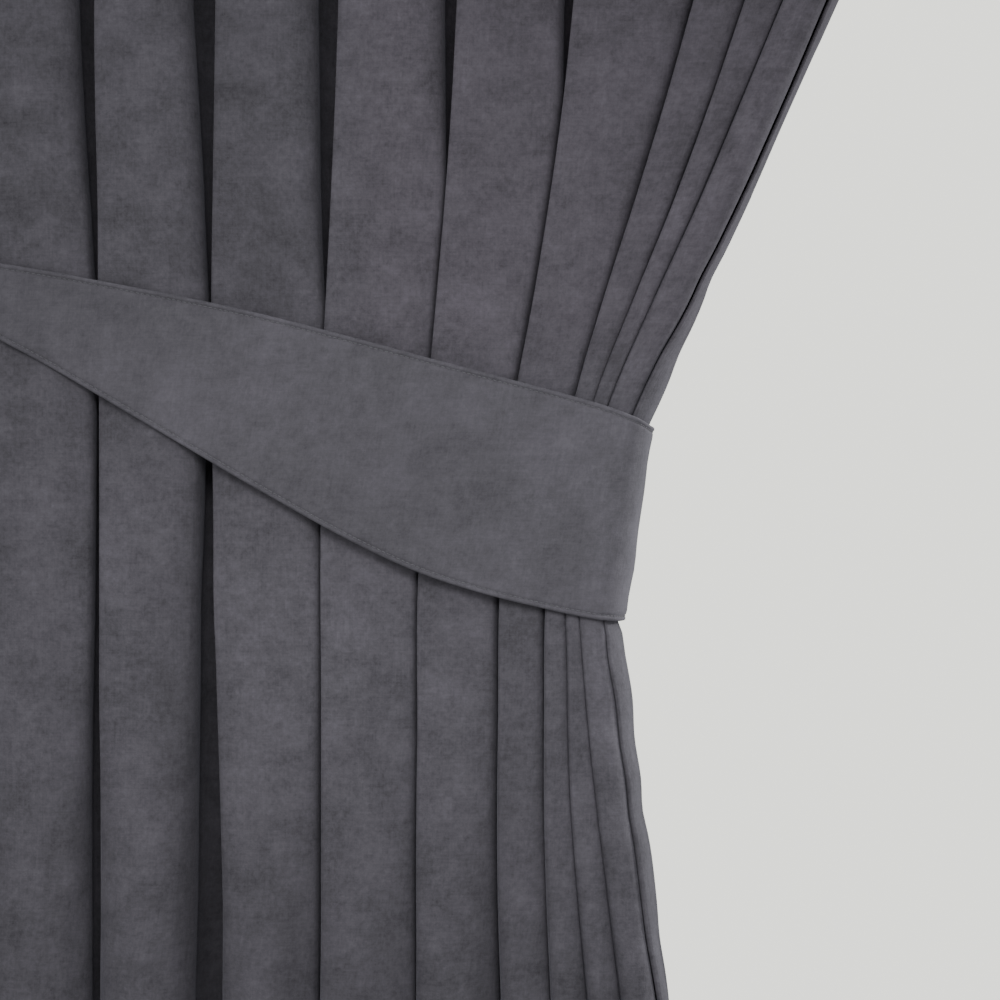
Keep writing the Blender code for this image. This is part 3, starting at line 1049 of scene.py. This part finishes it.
def nap_and_weave():
    """Node group for pile and ground weave: a tone near 1, a patch mask and a height."""
    group = bpy.data.node_groups.new("nap_and_weave", "ShaderNodeTree")
    socket(group, "Cloth", "NodeSocketVector")
    for name, value in nap_inputs.items():
        socket(group, name, "NodeSocketFloat", value=value)
    for name in ("Tone", "Patches", "Height"):
        socket(group, name, "NodeSocketFloat", into=False)
    given = group.nodes.new("NodeGroupInput").outputs
    cloth = given["Cloth"]
    patches = noise(group, cloth, given["Patch Scale"], 5.0, 0.95)
    clouds = noise(group, cloth, cloud_scale, 2.0)
    flecks = noise(group, stretched(group, cloth, fleck_stretch), 1.0, 2.0, 0.6)
    weft = noise(group, stretched(group, cloth, weft_stretch), 1.0, 2.0)
    warp = noise(group, stretched(group, cloth, warp_stretch), 1.0, 2.0)
    pile = noise(group, cloth, pile_scale, 2.0)
    surface = [
        (weft, given["Thread Amount"]),
        (warp, given["Thread Amount"]),
        (pile, given["Pile Amount"]),
    ]
    tone = sum_of(group, 1.0, [
        (patches, given["Patch Amount"]),
        (clouds, given["Cloud Amount"]),
        (flecks, given["Fleck Amount"]),
        *surface,
    ])
    height = sum_of(group, 0.5, [*surface, (patches, given["Patch Amount"])])
    add_node(group, "NodeGroupOutput", {"Tone": tone, "Patches": clouds, "Height": height})
    return group


velvet_nap = nap_and_weave()
print("node group with", len(velvet_nap.nodes), "nodes")

# %% Velvet materials
pile_roughness = 0.92
pile_gloss = 0.25
pile_sheen, sheen_roughness = 0.10, 0.45
sheen_tint = (0.86, 0.85, 1.0, 1.0)
# Shift of colour that the painted warm light adds.
warm_light_shift = (0.0016, -0.0008, 0.0006)


def new_material(name):
    """New material with nodes, and its node tree."""
    material = bpy.data.materials.new(name)
    material.use_nodes = True
    return material, material.node_tree


def two_tone(tree, factor, dark, light):
    """Colour that runs between two tones by a factor."""
    inputs = {"Factor": factor, "A": (*dark, 1.0), "B": (*light, 1.0)}
    return add_node(tree, "ShaderNodeMix", inputs, data_type="RGBA").outputs["Result"]


def mark(tree, name):
    """Value that is kept on the points of the cloth."""
    return add_node(tree, "ShaderNodeAttribute", attribute_name=name).outputs["Fac"]


def velvet(name, dark, light, amounts, bump):
    """Velvet whose colour runs between two tones with its nap."""
    material, tree = new_material(name)
    place = add_node(tree, "ShaderNodeUVMap", uv_map="cloth")
    inputs = {"Cloth": place.outputs["UV"], **amounts}
    nap = add_node(tree, "ShaderNodeGroup", inputs, node_tree=velvet_nap)
    hue = two_tone(tree, nap.outputs["Patches"], dark, light)
    # Painted warm light: a warmer tint added where the points carry it.
    inputs = {0: mark(tree, "painted_warm_light"), 1: warm_light_shift, 2: hue}
    warm = add_node(tree, "ShaderNodeVectorMath", inputs, operation="MULTIPLY_ADD")
    # The tone is also multiplied by the painted light on the points: brushed pile, painted shade and painted
    # highlights.
    inputs = {0: nap.outputs["Tone"], 1: mark(tree, "nap_and_painted_light")}
    tone = add_node(tree, "ShaderNodeMath", inputs, operation="MULTIPLY")
    inputs = {0: warm.outputs["Vector"], "Scale": tone.outputs[0]}
    shade = add_node(tree, "ShaderNodeVectorMath", inputs, operation="SCALE")
    inputs = {"Strength": 1.0, "Distance": bump, "Height": nap.outputs["Height"]}
    relief = add_node(tree, "ShaderNodeBump", inputs)
    feed(tree, tree.nodes["Principled BSDF"], {
        "Base Color": shade.outputs["Vector"],
        "Normal": relief.outputs["Normal"],
        "Roughness": pile_roughness,
        "Specular IOR Level": pile_gloss,
        "Sheen Weight": pile_sheen,
        "Sheen Roughness": sheen_roughness,
        "Sheen Tint": sheen_tint,
    })
    return material


drape_velvet = velvet(
    "drape_velvet", (0.067, 0.064, 0.073), (0.0712, 0.066, 0.078),
    {"Patch Scale": 34.0, "Patch Amount": 1.65, "Cloud Amount": 0.55,
     "Fleck Amount": 0.50, "Thread Amount": 0.25, "Pile Amount": 0.12},
    0.4 * MM,
)
# The band is the drape's velvet, painted a little lighter for the light that its bulge catches.
band_velvet_painted_lighter = velvet(
    "tieback_velvet_painted_lighter", (0.0708, 0.068, 0.0772), (0.0748, 0.070, 0.082),
    {"Patch Scale": 36.0, "Patch Amount": 1.25, "Cloud Amount": 0.50,
     "Fleck Amount": 0.30, "Thread Amount": 0.22, "Pile Amount": 0.12},
    0.3 * MM,
)
drape.data.materials.append(drape_velvet)
band.data.materials.append(band_velvet_painted_lighter)
print("materials:", drape_velvet.name, band_velvet_painted_lighter.name)

# %% Thread material
thread_tones = ((0.052, 0.051, 0.058), (0.110, 0.107, 0.120))
ply_inputs = {"Patch Scale": 2600.0, "Patch Amount": 0.9}


def thread_material():
    """Twisted thread: dark ply lines across a slightly glossier fibre."""
    material, tree = new_material("stitch_thread")
    place = tree.nodes.new("ShaderNodeTexCoord")
    inputs = {"Cloth": place.outputs["Object"], **ply_inputs}
    nap = add_node(tree, "ShaderNodeGroup", inputs, node_tree=velvet_nap)
    colour = two_tone(tree, nap.outputs["Height"], *thread_tones)
    inputs = {"Base Color": colour, "Roughness": 0.6, "Sheen Weight": 0.1}
    feed(tree, tree.nodes["Principled BSDF"], inputs)
    return material


thread = thread_material()
print("material:", thread.name)

# %% Stitch tree
stitch_inputs = {"Pitch": 0.0032, "Length": 0.0025, "Thickness": 0.00056}
shortest, longest = 0.90, 1.08
bead_rings = 6


def stitch_tree():
    """Geometry Nodes tree that sets one stitch at each pitch along a line."""
    tree = bpy.data.node_groups.new("stitches_along_line", "GeometryNodeTree")
    socket(tree, "Line", "NodeSocketGeometry")
    for name, value in stitch_inputs.items():
        socket(tree, name, "NodeSocketFloat", value=value)
    socket(tree, "Seed", "NodeSocketInt", value=0)
    socket(tree, "Thread", "NodeSocketMaterial")
    socket(tree, "Stitches", "NodeSocketGeometry", into=False)
    given = tree.nodes.new("NodeGroupInput").outputs
    line = add_node(tree, "GeometryNodeMeshToCurve", {"Mesh": given["Line"]})
    inputs = {"Curve": line.outputs["Curve"], "Length": given["Pitch"]}
    spots = add_node(tree, "GeometryNodeResampleCurve", inputs, mode="LENGTH")
    tangent = tree.nodes.new("GeometryNodeInputTangent")
    inputs = {"Vector": tangent.outputs["Tangent"]}
    turn = add_node(tree, "FunctionNodeAlignRotationToVector", inputs, axis="Z")
    inputs = {"Segments": bead_rings, "Rings": bead_rings, "Radius": 0.5}
    bead = add_node(tree, "GeometryNodeMeshUVSphere", inputs)
    inputs = {2: shortest, 3: longest, "Seed": given["Seed"]}
    jitter = add_node(tree, "FunctionNodeRandomValue", inputs, data_type="FLOAT")
    inputs = {0: given["Length"], 1: jitter.outputs[1]}
    length = add_node(tree, "ShaderNodeMath", inputs, operation="MULTIPLY")
    inputs = {"X": given["Thickness"], "Y": given["Thickness"], "Z": length.outputs[0]}
    size = add_node(tree, "ShaderNodeCombineXYZ", inputs)
    place = add_node(tree, "GeometryNodeInstanceOnPoints", {
        "Points": spots.outputs["Curve"],
        "Instance": bead.outputs["Mesh"],
        "Rotation": turn.outputs["Rotation"],
        "Scale": size.outputs["Vector"],
    })
    real = add_node(tree, "GeometryNodeRealizeInstances", {"Geometry": place.outputs["Instances"]})
    smooth = add_node(tree, "GeometryNodeSetShadeSmooth", {"Geometry": real.outputs["Geometry"]})
    inputs = {"Geometry": smooth.outputs["Geometry"], "Material": given["Thread"]}
    finish = add_node(tree, "GeometryNodeSetMaterial", inputs)
    add_node(tree, "NodeGroupOutput", {"Stitches": finish.outputs["Geometry"]})
    return tree


stitch_nodes = stitch_tree()
print("tree with", len(stitch_nodes.nodes), "nodes")

# %% Stitches on the band
stitch_seed = 7


def lines_object(name, lines):
    """Loose edges along some lines, for a tree to follow."""
    points, edges = [], []
    for line in lines:
        first = len(points)
        points += line.tolist()
        edges += [(first + step, first + step + 1) for step in range(len(line) - 1)]
    mesh = bpy.data.meshes.new(name)
    mesh.from_pydata(points, edges, [])
    return add_object(name, mesh)


def set_inputs(modifier, inputs):
    """Sets Geometry Nodes inputs by their sockets' identifiers."""
    for item in modifier.node_group.interface.items_tree:
        if item.item_type == "SOCKET" and item.in_out == "INPUT" and item.name in inputs:
            modifier[item.identifier] = inputs[item.name]


topstitch = lines_object("tieback_topstitch", stitch_lines)
modifier = topstitch.modifiers.new("stitches", "NODES")
modifier.node_group = stitch_nodes
set_inputs(modifier, {**stitch_inputs, "Seed": stitch_seed, "Thread": thread})
evaluated = topstitch.evaluated_get(bpy.context.evaluated_depsgraph_get())
stitch_mesh = bpy.data.meshes.new_from_object(evaluated)
topstitch.modifiers.clear()
topstitch.data = stitch_mesh
print(len(stitch_mesh.polygons), "faces of thread")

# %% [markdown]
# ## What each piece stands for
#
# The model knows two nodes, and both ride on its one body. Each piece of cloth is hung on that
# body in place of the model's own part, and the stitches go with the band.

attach(drape, "root")
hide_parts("drape")
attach(band, "root")
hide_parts("tieback")
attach(topstitch, "root")

# %% [markdown]
# ## Floor and light
#
# The light is plain and soft. A pale dome lights everything evenly. A large panel to the left of
# the camera lights the faces and leaves the channels between the folds dark, a weak one in front
# lifts the folds round the band, and one to the right and behind catches the leading edge.

# %% Floor
floor_level = -2.512
floor_half = 3.0
floor_tones = ((0.72, 0.72, 0.70), (0.78, 0.78, 0.76))


def floor_material():
    """Pale matt floor with a faint unevenness."""
    material, tree = new_material("pale_floor")
    place = tree.nodes.new("ShaderNodeTexCoord")
    clouds = noise(tree, place.outputs["Object"], 3.0, 3.0)
    inputs = {"Base Color": two_tone(tree, clouds, *floor_tones), "Roughness": 0.8}
    feed(tree, tree.nodes["Principled BSDF"], inputs)
    return material


corners = [(x * floor_half, y * floor_half, floor_level) for x, y in ((-1, -1), (1, -1), (1, 1), (-1, 1))]
floor_mesh = bpy.data.meshes.new("floor")
floor_mesh.from_pydata(corners, [], [(0, 1, 2, 3)])
floor_mesh.materials.append(floor_material())
floor = add_object("floor", floor_mesh)
print("floor", round(1000 * (-drop - floor_level)), "mm below the hem")

# %% Lights
dome_strength = 0.90
backdrop_strength = 1.75
sky_white = (0.97, 0.98, 1.0, 1.0)
pale = (0.985, 0.99, 0.925, 1.0)

world = bpy.data.worlds.new("studio")
world.use_nodes = True
bpy.context.scene.world = world
sky = world.node_tree
dome = sky.nodes["Background"]
feed(sky, dome, {"Color": sky_white, "Strength": dome_strength})
behind = add_node(sky, "ShaderNodeBackground", {"Color": pale, "Strength": backdrop_strength})
seen = sky.nodes.new("ShaderNodeLightPath")
inputs = {0: seen.outputs["Is Camera Ray"], 1: dome.outputs[0], 2: behind.outputs[0]}
either = add_node(sky, "ShaderNodeMixShader", inputs)
feed(sky, sky.nodes["World Output"], {"Surface": either.outputs[0]})


def panel(name, place, target, size, spread, watts):
    """Soft square light that faces a point. A smaller spread, in degrees, keeps it to that place."""
    data = bpy.data.lights.new(name, "AREA")
    data.shape = "SQUARE"
    data.size = size
    data.spread = spread * pi / 180
    data.energy = watts
    made = add_object(name, data)
    made.location = place
    towards = np.array(target) - np.array(place)
    tilt = atan2(float(np.hypot(towards[0], towards[1])), float(-towards[2]))
    turn = atan2(float(towards[1]), float(towards[0])) - pi / 2
    made.rotation_euler = (tilt, 0.0, turn)


panel("key_panel", (-1.40, -1.90, -0.30), (-0.20, 0.0, -1.62), 0.8, 70.0, 1.8)
panel("front_panel", (-0.12, -1.25, -0.95), (-0.12, 0.0, -1.53), 0.5, 30.0, 0.46)
panel("side_panel", (2.00, 0.85, -0.60), (0.03, 0.0, -1.60), 0.6, 22.0, 1.25)
print("three panels and a dome")
